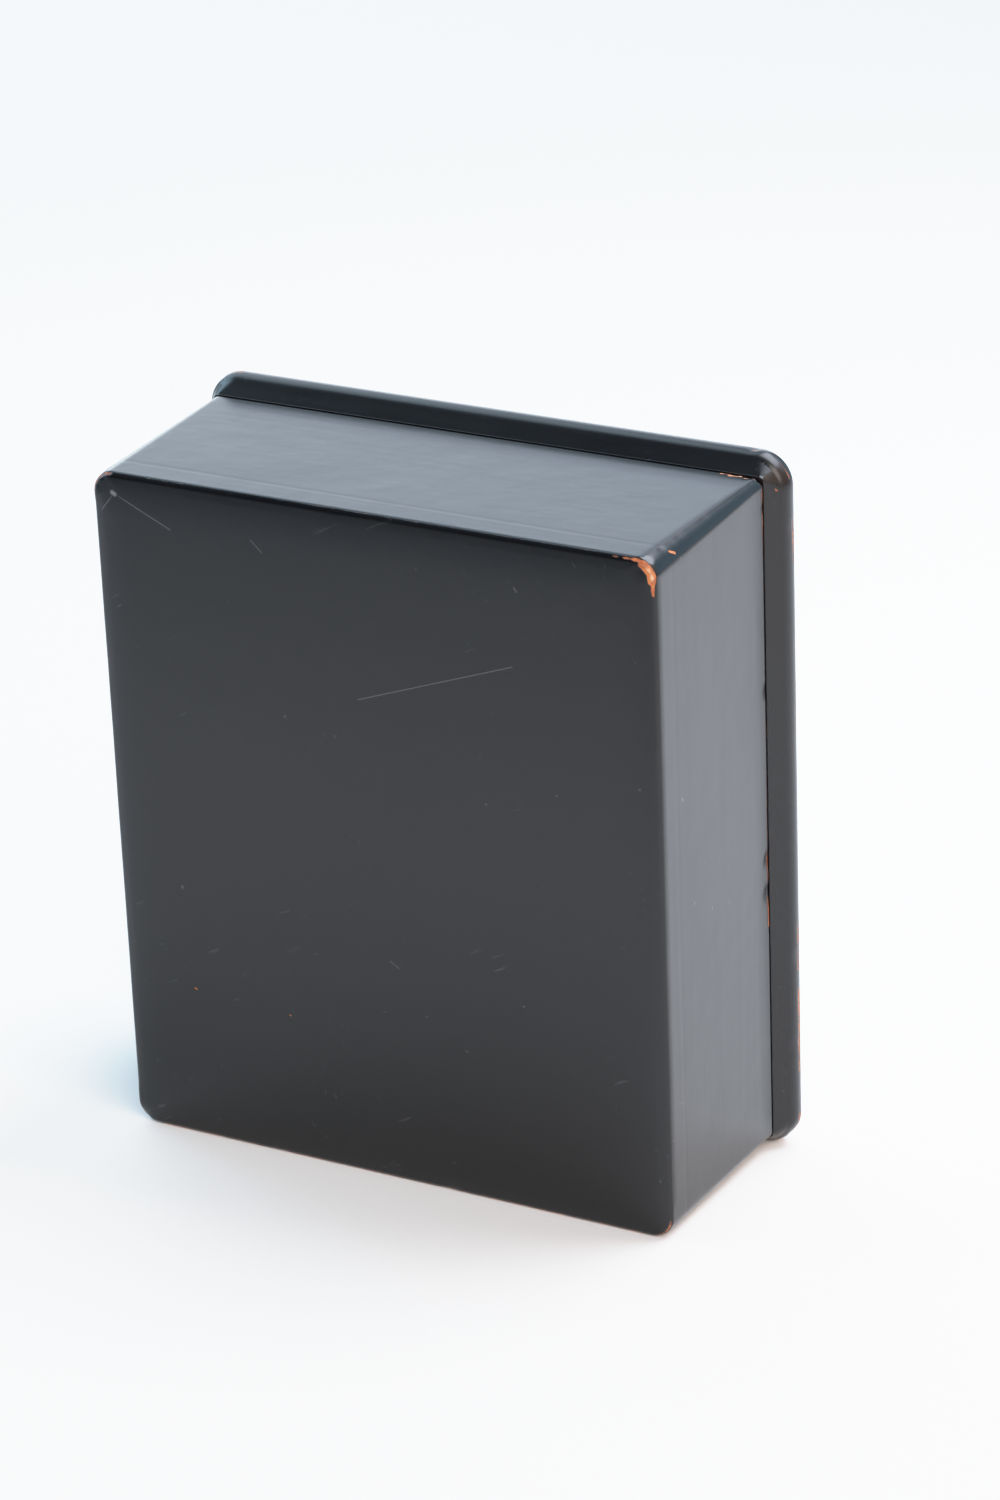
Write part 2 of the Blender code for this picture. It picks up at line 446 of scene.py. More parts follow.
BODY_RUBS = (
    (44.0, -51.4, 0.2, 2.6, 0.24),
    (44.9, -48.6, 0.5, 1.8, 0.12),
    (-44.0, -51.5, 0.5, 2.6, 0.20),
    (44.0, 51.5, 0.5, 2.6, 0.20),
    (-44.0, 51.5, 0.5, 2.6, 0.20),
    (-22.8, -52.5, 0.0, 1.6, 0.04),
    (12.0, -52.5, 0.0, 2.6, 0.05),
    (-5.0, -52.5, 0.0, 1.6, 0.04),
    (45.0, -30.0, 0.0, 2.0, 0.07),
    (45.0, 10.0, 0.0, 2.4, 0.09),
    (-45.0, 22.0, 0.0, 2.4, 0.10),
    (8.0, 52.5, 0.0, 3.0, 0.12),
    (-20.0, 52.5, 0.0, 2.2, 0.10),
    (42.9, -52.5, 34.2, 1.2, 0.30),
    (40.9, -52.5, 34.2, 0.9, 0.22),
    (44.6, -52.1, 34.2, 1.1, 0.24),
    (45.0, -48.0, 34.2, 1.0, 0.12),
    (45.0, 6.6, 34.2, 2.2, 0.16),
    (45.0, 12.0, 34.2, 2.6, 0.18),
    (45.0, -20.0, 34.2, 1.8, 0.08),
    (-45.0, -10.0, 34.2, 2.2, 0.14),
    (-45.0, 30.0, 34.2, 1.8, 0.10),
)
LID_RUBS = (
    (41.8, -55.0, 38.6, 1.5, 0.16),
    (46.6, -54.2, 38.0, 2.6, 0.16),
    (47.5, -44.0, 38.5, 1.6, 0.08),
    (47.5, 24.0, 38.0, 2.4, 0.10),
    (47.5, 38.0, 37.6, 2.2, 0.10),
    (46.4, 53.6, 38.0, 3.0, 0.18),
    (-46.4, -53.8, 38.0, 3.0, 0.16),
    (-46.4, 53.8, 38.0, 3.0, 0.18),
    (-47.5, 5.0, 38.4, 2.4, 0.10),
    (44.6, -52.0, 35.3, 0.8, 0.14),
)

# Edges worn rounder over a long stretch: (start, end, reach, depth) in mm
BODY_LONG_RUBS = (
    ((45.0, -49.0, 0.0), (45.0, 46.0, 0.0), 2.1, 0.30),
    ((-45.0, -47.0, 0.0), (-45.0, 46.0, 0.0), 1.8, 0.14),
)

# How far the sides are from true, where they face sideways, and how fine each unevenness is
HAND_DEPTH = 0.035 * MM
SIDE_FACING = 0.02
HAND_FINENESS = 60
RUB_FINENESS, SPLINTER_FINENESS = 900, 2600
LONG_RUB_FINENESS = 120


def point_rows(mesh, what="co"):
    """The mesh's points, or what else each vertex has three numbers for, one row each."""
    flat = np.empty(len(mesh.vertices) * 3)
    mesh.vertices.foreach_get(what, flat)
    return flat.reshape(-1, 3)


def apart_from_line(places, start, end):
    """How far each place is from the line between two points given in mm."""
    start, end = np.array(start) * MM, np.array(end) * MM
    along = end - start
    share = np.clip((places - start) @ along / max(along @ along, 1e-12), 0.0, 1.0)
    return np.linalg.norm(places - start - share[:, None] * along, axis=1)


def wear_down(mesh, rubs, long_rubs, seed):
    """Takes a little off the shell: uneven hand-planed sides, and the rubbed places."""
    places = point_rows(mesh)
    outward = point_rows(mesh, "normal")
    depth = np.zeros(len(places))
    shift = Vector((seed * 3.7, seed * 1.3, seed * 2.1))
    for x, y, z, reach, deep in rubs:
        apart = np.linalg.norm(places - np.array((x, y, z)) * MM, axis=1) / (reach * MM)
        for index in np.nonzero(apart < 1.0)[0]:
            place = Vector(places[index])
            rough = (0.75 + 0.5 * noise.noise(place * RUB_FINENESS + shift)
                     + 0.2 * noise.noise(place * SPLINTER_FINENESS))
            fall = (1 - apart[index] ** 2) ** 2
            depth[index] = max(depth[index], deep * MM * fall * max(rough, 0.1))
    for start, end, reach, deep in long_rubs:
        apart = apart_from_line(places, start, end) / (reach * MM)
        for index in np.nonzero(apart < 1.0)[0]:
            uneven = 0.85 + 0.3 * noise.noise(Vector(places[index]) * LONG_RUB_FINENESS + shift)
            fall = (1 - apart[index] ** 2) ** 2
            depth[index] = max(depth[index], deep * MM * fall * uneven)
    sideways = (outward[:, 0] ** 2 > SIDE_FACING) | (outward[:, 1] ** 2 > SIDE_FACING)
    for index in np.nonzero(sideways)[0]:
        uneven = 0.5 + 0.5 * noise.noise(Vector(places[index]) * HAND_FINENESS + shift)
        depth[index] += HAND_DEPTH * uneven
    places -= outward * depth[:, None]
    mesh.vertices.foreach_set("co", places.ravel())
    mesh.update()


def swell_rim(mesh):
    """Moves the long sides out a little towards the rim."""
    places = point_rows(mesh)
    from_side = BODY_WIDTH / 2 - np.abs(places[:, 0])
    below = (BODY_DEPTH - RIM_EDGE_ROUND - places[:, 2]) / SWELL_REACH
    share = np.clip(1 - below, 0.0, 1.0) ** 2 * np.clip(1 - from_side / RIM_CORNER_ROUND, 0.0, 1.0)
    places[:, 0] += np.sign(places[:, 0]) * RIM_SWELL * share
    mesh.vertices.foreach_set("co", places.ravel())


def mark_stretches(mesh, stretches):
    """Keeps the strongest of the worn stretches at each point as the attribute rubbed."""
    places = point_rows(mesh)
    rubbed = np.zeros(len(places))
    for points, reach, strength in stretches:
        for start, end in zip(points, points[1:]):
            near = np.clip(1.0 - apart_from_line(places, start, end) / (reach * MM), 0.0, 1.0)
            rubbed = np.maximum(rubbed, strength * near * near * (3.0 - 2.0 * near))
    mesh.attributes.new("rubbed", "FLOAT", "POINT").data.foreach_set("value", rubbed)


def make_shell(name, section, rubs, long_rubs, stretches, finish, node, seed):
    """One worn shell, stood up, in place of its node."""
    mesh = loft(name, section, finish)
    if node == "box_body":
        swell_rim(mesh)
    mark_stretches(mesh, stretches)
    wear_down(mesh, rubs, long_rubs, seed)
    mesh.transform(STAND_UP)
    mesh.set_sharp_from_angle(angle=SHARP_ANGLE)
    mesh.update()
    shell = bpy.data.objects.new(name, mesh)
    bpy.context.scene.collection.objects.link(shell)
    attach(shell, "root")
    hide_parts(node)


# Shared effects

def build_stretch_group():
    """How close a place is to a line from Start to End: 1 on it, 0 at Reach and beyond."""
    tree, start, end = new_group("stretch", "ShaderNodeTree", [
        ("Place", "NodeSocketVector"), ("Start", "NodeSocketVector"), ("End", "NodeSocketVector"),
        ("Reach", "NodeSocketFloat", 0.001), ("Strength", "NodeSocketFloat", 1.0),
    ], [("Mask", "NodeSocketFloat")])
    along = vector_calc(tree, "SUBTRACT", start["End"], start["Start"])
    away = vector_calc(tree, "SUBTRACT", start["Place"], start["Start"])
    share = calc(tree, "DIVIDE", vector_calc(tree, "DOT_PRODUCT", away, along),
                 vector_calc(tree, "DOT_PRODUCT", along, along), clamp=True)
    nearest = vector_calc(tree, "SUBTRACT", away, vector_calc(tree, "SCALE", along, scale=share))
    apart = calc(tree, "DIVIDE", vector_calc(tree, "LENGTH", nearest), start["Reach"])
    feed(tree, calc(tree, "MULTIPLY", ease(tree, apart, 0.0, 1.0, 1.0, 0.0), start["Strength"]),
         end["Mask"])
    return tree


def build_edge_group():
    """How far a place on a box is from its nearest edge, for a box given by its half sizes."""
    tree, start, end = new_group("edge_distance", "ShaderNodeTree", [
        ("Place", "NodeSocketVector"), ("Half Width", "NodeSocketFloat"),
        ("Half Length", "NodeSocketFloat"), ("Low", "NodeSocketFloat"),
        ("High", "NodeSocketFloat"),
    ], [("Distance", "NodeSocketFloat")])
    x, y, z = add(tree, "ShaderNodeSeparateXYZ", {0: start["Place"]}).outputs
    from_side = calc(tree, "ABSOLUTE", calc(tree, "SUBTRACT", start["Half Width"],
                                            calc(tree, "ABSOLUTE", x)))
    from_end = calc(tree, "ABSOLUTE", calc(tree, "SUBTRACT", start["Half Length"],
                                           calc(tree, "ABSOLUTE", y)))
    from_low = calc(tree, "ABSOLUTE", calc(tree, "SUBTRACT", z, start["Low"]))
    from_high = calc(tree, "ABSOLUTE", calc(tree, "SUBTRACT", start["High"], z))
    from_face = calc(tree, "MINIMUM", from_low, from_high)
    nearest = calc(tree, "MINIMUM", from_side, from_end)
    farthest = calc(tree, "MAXIMUM", from_side, from_end)
    second = calc(tree, "MAXIMUM", nearest, calc(tree, "MINIMUM", farthest, from_face))
    feed(tree, second, end["Distance"])
    return tree


def build_worn_group():
    """Where the lacquer has gone: along the edges a little, and more where Rubbed says."""
    tree, start, end = new_group("worn_lacquer", "ShaderNodeTree", [
        ("Place", "NodeSocketVector"), ("Edge Distance", "NodeSocketFloat"),
        ("Rubbed", "NodeSocketFloat"), ("Edge Reach", "NodeSocketFloat", 0.0006),
        ("Edge Wear", "NodeSocketFloat", 0.3),
    ], [("Worn", "NodeSocketFloat"), ("Bare", "NodeSocketFloat")])
    patchy = soft_noise(tree, start["Place"], 210.0, 5.0, 0.62)
    grainy = soft_noise(tree, start["Place"], 1500.0, 3.0, 0.6)
    edge = ease(tree, start["Edge Distance"], 0.0, start["Edge Reach"], 1.0, 0.0)
    base = calc(tree, "MULTIPLY", edge, start["Edge Wear"])
    total = calc(tree, "MAXIMUM", base, start["Rubbed"])
    ragged = calc(tree, "ADD", calc(tree, "MULTIPLY", calc(tree, "SUBTRACT", patchy, 0.5), 1.1),
                  calc(tree, "MULTIPLY", calc(tree, "SUBTRACT", grainy, 0.5), 0.7))
    level = calc(tree, "MULTIPLY", calc(tree, "ADD", ragged, 1.0), total)
    feed(tree, ease(tree, level, 0.30, 0.62), end["Worn"])
    feed(tree, ease(tree, level, 0.95, 1.40), end["Bare"])
    return tree


def build_scratch_group():
    """Fine hairlines in one direction: a stretched noise cut to its thin crests."""
    tree, start, end = new_group("hairlines", "ShaderNodeTree", [
        ("Place", "NodeSocketVector"), ("Turn", "NodeSocketFloat"),
        ("Amount", "NodeSocketFloat", 0.5),
    ], [("Lines", "NodeSocketFloat")])
    turned = add(tree, "ShaderNodeVectorRotate", {
        "Vector": start["Place"], "Axis": (0.3, 0.2, 1.0), "Angle": start["Turn"]}).outputs[0]
    drawn_out = vector_calc(tree, "MULTIPLY", turned, (26.0, 1500.0, 1500.0))
    lines = soft_noise(tree, drawn_out, 1.0, 2.0)
    here = soft_noise(tree, turned, 55.0, 2.0)
    thin = ease(tree, lines, 0.68, 0.76)
    feed(tree, calc(tree, "MULTIPLY", calc(tree, "MULTIPLY", thin, ease(tree, here, 0.42, 0.68)),
                    start["Amount"]), end["Lines"])
    return tree


def build_dust_group():
    """Specks of dust: small dots of many sizes, in loose drifts."""
    tree, start, end = new_group("dust", "ShaderNodeTree", [
        ("Place", "NodeSocketVector"), ("Scale", "NodeSocketFloat", 520.0),
        ("Amount", "NodeSocketFloat", 0.5),
    ], [("Specks", "NodeSocketFloat")])
    cells = add(tree, "ShaderNodeTexVoronoi", {"Vector": start["Place"], "Scale": start["Scale"]})
    chosen = add(tree, "ShaderNodeSeparateColor", {0: cells.outputs["Color"]}).outputs
    drift = soft_noise(tree, start["Place"], 48.0, 3.0)
    size = calc(tree, "MULTIPLY", calc(tree, "POWER", chosen[0], 6.0), 0.20)
    dot = ease(tree, calc(tree, "SUBTRACT", cells.outputs["Distance"], size), -0.04, 0.0, 1.0, 0.0)
    few = calc(tree, "GREATER_THAN", chosen[1], 0.62)
    feed(tree, calc(tree, "MULTIPLY", calc(tree, "MULTIPLY", dot, few),
                    calc(tree, "MULTIPLY", ease(tree, drift, 0.35, 0.7), start["Amount"])),
         end["Specks"])
    return tree


STRETCH = build_stretch_group()
EDGE_DISTANCE = build_edge_group()
WORN = build_worn_group()
HAIRLINES = build_scratch_group()
DUST = build_dust_group()

# Worn stretches

def round_corner(side_x, side_y, height, radius=CORNER_ROUND / MM, proud=0.0, start=0.0, end=90.0):
    """Points round one upright corner, from the long side (0 degrees) to the short side (90)."""
    middle = (BODY_WIDTH / 2 / MM + proud - radius, BODY_LENGTH / 2 / MM + proud - radius)
    steps = 4
    points = []
    for step in range(steps + 1):
        angle = math.radians(between(start, end, step / steps))
        points.append((side_x * (middle[0] + radius * math.cos(angle)),
                       side_y * (middle[1] + radius * math.sin(angle)), height))
    return points


# In mm: (points, reach, strength). Over about 0.5 the orange ground shows
BODY_STRETCHES = (
    (round_corner(1, -1, 0.3, 2.8, -0.4, 0, 60), 1.35, 1.15),
    (round_corner(1, -1, 0.5, 3.0, -0.2, 50, 90), 0.8, 0.80),
    ([(41.6, -52.3, 0.5), (40.2, -52.3, 0.5)], 0.7, 0.64),
    ([(39.4, -52.3, 0.5), (38.4, -52.3, 0.5)], 0.6, 0.60),
    ([(44.6, -49.6, 0.4), (44.6, -47.6, 0.4)], 0.8, 0.78),
    ([(45.0, -48.0, 0.5), (45.0, -30.0, 0.5)], 0.75, 0.47),
    ([(45.0, -30.0, 0.5), (45.0, 20.0, 0.5)], 0.7, 0.43),
    ([(45.0, 20.0, 0.5), (45.0, 49.0, 0.5)], 0.7, 0.46),
    (round_corner(1, 1, 0.5), 0.9, 0.66),
    (round_corner(-1, -1, 0.55), 1.15, 0.60),
    (round_corner(-1, 1, 0.6), 1.0, 0.6),
    ([(-41.0, -52.5, 0.6), (-38.0, -52.5, 0.6)], 0.6, 0.50),
    ([(-36.0, -52.5, 0.9), (-25.0, -52.5, 0.9)], 0.5, 0.40),
    ([(-23.4, -52.5, 0.5), (-22.4, -52.5, 0.5)], 0.55, 0.62),
    ([(-14.0, -52.5, 0.9), (36.0, -52.5, 0.9)], 0.5, 0.40),
    ([(3.0, -52.5, 0.6), (4.0, -52.5, 0.6)], 0.5, 0.50),
    ([(-41.0, 52.5, 0.8), (41.5, 52.5, 0.8)], 0.8, 0.62),
    ([(-45.0, -49.0, 0.8), (-45.0, 49.0, 0.8)], 0.7, 0.48),
    ([(39.6, -52.5, 34.1), (40.6, -52.5, 33.9), (41.6, -52.5, 34.0)], 0.6, 1.10),
    (round_corner(1, -1, 34.1, 1.5), 0.5, 0.84),
    ([(45.0, -51.0, 34.0), (45.0, -44.0, 34.0)], 0.7, 0.60),
    ([(45.0, -44.0, 34.0), (45.0, -8.0, 34.0)], 0.7, 0.47),
    ([(45.0, -8.0, 34.0), (45.0, 6.0, 34.0)], 0.7, 0.54),
    ([(45.0, 6.0, 34.0), (45.0, 10.0, 34.0)], 0.8, 0.70),
    ([(45.0, 12.5, 34.0), (45.0, 17.0, 34.0)], 0.8, 0.72),
    ([(45.0, 17.0, 34.2), (45.0, 50.0, 34.2)], 0.5, 0.55),
    ([(20.0, -52.5, 34.2), (39.0, -52.5, 34.2)], 0.4, 0.42),
    ([(-45.0, -49.0, 34.2), (-45.0, 49.0, 34.2)], 0.6, 0.56),
    ([(-41.0, 52.5, 34.2), (41.0, 52.5, 34.2)], 0.6, 0.5),
    ([(44.0, -51.6, 6.3), (44.5, -51.2, 7.3)], 0.7, 0.44),
)
LID_PLAN = (LID_CORNER_ROUND / MM, LID_OVERHANG / MM)
LID_STRETCHES = (
    (round_corner(1, -1, 38.3, *LID_PLAN, 15, 65), 0.45, 0.50),
    ([(45.0, -54.3, 37.2), (45.7, -54.3, 37.8)], 0.55, 1.50),
    ([(41.6, -54.9, 38.2), (42.4, -54.9, 38.3)], 0.5, 0.72),
    ([(47.5, -45.0, 38.7), (47.5, -38.5, 38.7)], 0.7, 0.54),
    ([(47.5, -20.0, 38.7), (47.5, -16.0, 38.7)], 0.6, 0.44),
    ([(47.5, 18.0, 38.7), (47.5, 26.0, 38.7)], 0.7, 0.52),
    ([(47.5, 29.0, 38.7), (47.5, 43.0, 38.7)], 0.8, 0.58),
    (round_corner(1, 1, 38.6, *LID_PLAN), 1.1, 0.62),
    (round_corner(-1, -1, 38.6, *LID_PLAN), 1.0, 0.50),
    (round_corner(-1, 1, 38.6, *LID_PLAN), 1.1, 0.62),
    ([(-47.5, 10.0, 38.8), (-47.5, 40.0, 38.8)], 0.8, 0.58),
    ([(-30.0, 55.0, 38.7), (20.0, 55.0, 38.7)], 0.8, 0.58),
    ([(46.1, -50.3, 35.9), (46.3, -50.0, 36.1)], 0.5, 0.8),
    ([(45.7, -49.2, 35.4), (45.9, -49.0, 35.6)], 0.4, 0.8),
)

# Single hairlines on the base and on the long side, in mm: (start, end, reach, strength)
BODY_LINES = (
    ((-2.3, -24.2, 0.0), (22.7, -33.4, 0.0), 0.13, 0.62),
    ((-40.8, -49.4, 0.1), (-31.9, -45.4, 0.0), 0.15, 0.65),
    ((-41.1, -49.5, 0.1), (-43.7, -46.3, 0.26), 0.17, 0.6),
    ((-41.4, -49.6, 0.1), (-41.0, -49.4, 0.1), 0.55, 1.7),
    ((-18.6, -45.9, 0.0), (-16.8, -44.2, 0.0), 0.14, 0.5),
    ((0.9, 16.4, 0.0), (2.2, 17.2, 0.0), 0.18, 0.4),
    ((23.4, -45.3, 0.0), (23.8, -44.8, 0.0), 0.22, 0.5),
    ((45.0, -14.6, 7.1), (45.0, -14.3, 7.2), 0.3, 1.2),
)

# Small pits and chips down to the ground or the wood, in mm: (start, end, reach, strength)
BODY_PITS = (
    ((-32.9, 27.6, 0.0), (-32.6, 27.7, 0.0), 0.36, 0.7),
    ((-16.7, 28.7, 0.0), (-16.5, 28.8, 0.0), 0.34, 0.6),
    ((38.8, -52.5, 33.7), (39.6, -52.5, 34.1), 0.30, 1.5),
    ((40.2, -52.5, 33.4), (41.9, -52.5, 33.8), 0.34, 1.6),
    ((42.6, -52.4, 33.5), (43.4, -52.1, 33.9), 0.30, 1.5),
    ((44.1, -51.5, 6.4), (44.5, -51.1, 7.2), 0.40, 1.35),
)


def all_lines(tree, place, lines):
    """The strongest of several hairlines at each place."""
    total = None
    for begin, finish, reach, strength in lines:
        mask = place_group(tree, STRETCH, {
            "Place": place, "Start": tuple(v * MM for v in begin),
            "End": tuple(v * MM + 1e-6 for v in finish), "Reach": reach * MM,
            "Strength": strength})["Mask"]
        total = mask if total is None else calc(tree, "MAXIMUM", total, mask)
    return total


# Colours of the lacquer and of what lies under it
DEEP_BLACK, SOFT_BLACK = (0.0027, 0.0032, 0.0042, 1.0), (0.0044, 0.0048, 0.0056, 1.0)
SCUFF_GREY = (0.30, 0.31, 0.33, 1.0)
DUST_GREY = (0.42, 0.42, 0.40, 1.0)
THIN_BROWN = (0.060, 0.026, 0.015, 1.0)
DARK_GROUND, PALE_GROUND = (0.26, 0.068, 0.024, 1.0), (0.46, 0.145, 0.042, 1.0)
DARK_WOOD, PALE_WOOD = (0.36, 0.21, 0.13, 1.0), (0.62, 0.42, 0.28, 1.0)

# Finish: roughness, how far edge wear reaches, hairlines as (turn, amount), and dust
LACQUER_IOR = 1.44
SCUFF_ROUGHNESS = 0.55
WORN_ROUGHNESS = 0.62
GRAIN_ROUGHNESS = 0.16
EDGE_REACH = 0.7 * MM
BODY_EDGE_WEAR, LID_EDGE_WEAR = 0.34, 0.18
BODY_SATINS, LID_SATINS = (0.16, 0.25), (0.23, 0.33)
HAIRLINE_SETS = ((0.5, 0.20), (2.1, 0.16))
DUST_FINENESS, DUST_AMOUNT = 620.0, 0.55

# Relief in mm: how far each pattern stands out, or in where it is negative
SKIN_RELIEF, WAVE_RELIEF, SWELL_RELIEF, GRAIN_RELIEF = 0.012, 0.07, 0.042, 0.010
FLECK_RELIEF, WORN_RELIEF, BARE_RELIEF = -0.05, -0.05, -0.04
SCUFF_RELIEF, DUST_RELIEF = -0.006, 0.02

# Fine lines round the sides: (reach, depth in mm), over the board's joint and by the base's edge
JOINT_HEIGHT = BASE_BOARD + 0.5 * MM
JOINT_LINE = (0.8 * MM, 0.009)
EDGE_LINE = (0.34 * MM, 0.022)


def lacquer_colour(tree, clouds, flecks, scuffs, dust, worn):
    """The black with its scuffs and dust, over the orange ground, over the wood."""
    black = mix_colours(tree, clouds, DEEP_BLACK, SOFT_BLACK)
    scuffed = mix_colours(tree, calc(tree, "MULTIPLY", scuffs, 0.30), black, SCUFF_GREY)
    dusty = mix_colours(tree, calc(tree, "MULTIPLY", dust, 0.22), scuffed, DUST_GREY)
    ground = mix_colours(tree, ease(tree, flecks, 0.35, 0.65), DARK_GROUND, PALE_GROUND)
    bare = mix_colours(tree, ease(tree, flecks, 0.40, 0.62), DARK_WOOD, PALE_WOOD)
    thin = mix_colours(tree, ease(tree, worn["Worn"], 0.0, 0.5), dusty, THIN_BROWN)
    orange = mix_colours(tree, ease(tree, worn["Worn"], 0.40, 1.0), thin, ground)
    return mix_colours(tree, worn["Bare"], orange, bare)


def lacquer_relief(tree, place, grain, flecks, scuffs, dust, worn, board_joint):
    """How far each place of the surface stands out, in mm."""
    skin = soft_noise(tree, place, 260.0, 2.0, 0.4)
    wave = soft_noise(tree, place, 45.0, 2.0)
    swell = soft_noise(tree, place, 125.0, 3.0)
    fleck_pits = calc(tree, "MULTIPLY", flecks, worn["Worn"])
    height = calc(tree, "MULTIPLY", skin, SKIN_RELIEF)
    for pattern, relief in ((wave, WAVE_RELIEF), (swell, SWELL_RELIEF), (grain, GRAIN_RELIEF),
                            (fleck_pits, FLECK_RELIEF), (worn["Worn"], WORN_RELIEF),
                            (worn["Bare"], BARE_RELIEF), (scuffs, SCUFF_RELIEF),
                            (dust, DUST_RELIEF)):
        height = calc(tree, "ADD", height, calc(tree, "MULTIPLY", pattern, relief))
    if board_joint:
        level = add(tree, "ShaderNodeSeparateXYZ", {0: place}).outputs["Z"]
        for line, (reach, depth) in ((board_joint, JOINT_LINE), (BASE_EDGE_ROUND, EDGE_LINE)):
            apart = calc(tree, "ABSOLUTE", calc(tree, "SUBTRACT", level, line))
            height = calc(tree, "SUBTRACT", height,
                          calc(tree, "MULTIPLY", ease(tree, apart, 0.0, reach, 1.0, 0.0), depth))
    return height


def lacquer(name, half_width, half_length, low, high, lines, pits, board_joint, edge_wear, satins):
    """Black lacquer over an orange ground over wood, with its wear, hairlines and dust."""
    material = bpy.data.materials.new(name)
    material.use_nodes = True
    tree = material.node_tree
    shader = tree.nodes["Principled BSDF"]
    coordinates = add(tree, "ShaderNodeTexCoord")
    place = add(tree, "ShaderNodeMapping", {
        "Vector": coordinates.outputs["Object"], "Location": tuple(PLACE),
        "Rotation": (TURN, 0.0, 0.0)}, vector_type="TEXTURE").outputs[0]

    edge = place_group(tree, EDGE_DISTANCE, {
        "Place": place, "Half Width": half_width, "Half Length": half_length,
        "Low": low, "High": high})["Distance"]
    rubbed = add(tree, "ShaderNodeAttribute", attribute_name="rubbed").outputs["Fac"]
    if pits:
        rubbed = calc(tree, "MAXIMUM", rubbed, all_lines(tree, place, pits))
    worn = place_group(tree, WORN, {
        "Place": place, "Edge Distance": edge, "Rubbed": rubbed, "Edge Reach": EDGE_REACH,
        "Edge Wear": edge_wear})
    first, second = (
        place_group(tree, HAIRLINES, {"Place": place, "Turn": turn, "Amount": amount})["Lines"]
        for turn, amount in HAIRLINE_SETS)
    scuffs = calc(tree, "MAXIMUM", first, second)
    if lines:
        scuffs = calc(tree, "MAXIMUM", scuffs, all_lines(tree, place, lines))
    dust = place_group(tree, DUST, {
        "Place": place, "Scale": DUST_FINENESS, "Amount": DUST_AMOUNT})["Specks"]
    clouds = soft_noise(tree, place, 38.0, 4.0, 0.55)
    flecks = soft_noise(tree, place, 900.0, 3.0, 0.65)
    feed(tree, lacquer_colour(tree, clouds, flecks, scuffs, dust, worn),
         shader.inputs["Base Color"])

    grain_place = vector_calc(tree, "MULTIPLY", place, (24.0, 24.0, 620.0))
    grain = soft_noise(tree, grain_place, 1.0, 4.0, 0.6)
    satin = calc(tree, "ADD", mix_values(tree, clouds, *satins),
                 calc(tree, "MULTIPLY", calc(tree, "SUBTRACT", grain, 0.5), GRAIN_ROUGHNESS))
    scuffed_satin = mix_values(tree, calc(tree, "MULTIPLY", scuffs, 0.6), satin, SCUFF_ROUGHNESS)
    feed(tree, mix_values(tree, worn["Worn"], scuffed_satin, WORN_ROUGHNESS),
         shader.inputs["Roughness"])
    shader.inputs["IOR"].default_value = LACQUER_IOR

    height = lacquer_relief(tree, place, grain, flecks, scuffs, dust, worn, board_joint)
    bump = add(tree, "ShaderNodeBump", {"Height": height, "Strength": 1.0, "Distance": MM})
    feed(tree, bump.outputs[0], shader.inputs["Normal"])
    return material


# The height the lid's edge wear is measured from lies well under it, so only its top edge wears
LID_LOW = BODY_DEPTH - 10 * MM

BODY_LACQUER = lacquer("worn_black_lacquer_body", BODY_WIDTH / 2, BODY_LENGTH / 2,
                       0.0, BODY_DEPTH, BODY_LINES, BODY_PITS, JOINT_HEIGHT,
                       BODY_EDGE_WEAR, BODY_SATINS)
LID_LACQUER = lacquer("worn_black_lacquer_lid", BODY_WIDTH / 2 + LID_OVERHANG,
                      BODY_LENGTH / 2 + LID_OVERHANG, LID_LOW, BODY_DEPTH + LID_HEIGHT,
                      (), (), None, LID_EDGE_WEAR, LID_SATINS)

LOFT = build_loft_tree()
make_shell("body", body_section(), BODY_RUBS, BODY_LONG_RUBS, BODY_STRETCHES,
           BODY_LACQUER, "box_body", 1)
make_shell("lid_shell", lid_section(), LID_RUBS, (), LID_STRETCHES,
           LID_LACQUER, "lid", 2)


# Floor

FLOOR_SIDE, FLOOR_NEAR, FLOOR_FAR = 1.45, -2.2, 1.40
DARK_FIBRE, PALE_FIBRE = (0.80, 0.795, 0.785, 1.0), (0.84, 0.835, 0.825, 1.0)

# Painted shade: the paper is painted greyer on the underside's side of the box, from one Y to the
# other, so that the underside mirrors a shaded floor
NEAR_PAINTED_SHADE = (0.49, 0.51, 0.53, 1.0)
PAINTED_SHADE_FROM, PAINTED_SHADE_TO = -0.30, -0.11


def make_floor():
    """A large pale sheet, smooth and matt, with painted shade on the underside's side of the box.
    """
    mesh = bpy.data.meshes.new("floor")
    mesh.from_pydata([(-FLOOR_SIDE, FLOOR_NEAR, 0.0), (FLOOR_SIDE, FLOOR_NEAR, 0.0),
                      (FLOOR_SIDE, FLOOR_FAR, 0.0), (-FLOOR_SIDE, FLOOR_FAR, 0.0)],
                     [], [(0, 1, 2, 3)])
    floor = bpy.data.objects.new("floor", mesh)
    bpy.context.scene.collection.objects.link(floor)
    material = bpy.data.materials.new("pale_paper_with_painted_shade")
    material.use_nodes = True
    tree = material.node_tree
    shader = tree.nodes["Principled BSDF"]
    place = add(tree, "ShaderNodeTexCoord").outputs["Object"]
    paper = mix_colours(tree, soft_noise(tree, place, 900.0, 3.0), DARK_FIBRE, PALE_FIBRE)
    depth = add(tree, "ShaderNodeSeparateXYZ", {0: place}).outputs["Y"]
    # Painted shade: grey mixed into the paper on the underside's side of the box, for the
    # underside to mirror
    feed(tree, mix_colours(tree, ease(tree, depth, PAINTED_SHADE_FROM, PAINTED_SHADE_TO), NEAR_PAINTED_SHADE, paper),
         shader.inputs["Base Color"])
    shader.inputs["Roughness"].default_value = 0.75
    shader.inputs["Specular IOR Level"].default_value = 0.25
    mesh.materials.append(material)


make_floor()


# Light and camera

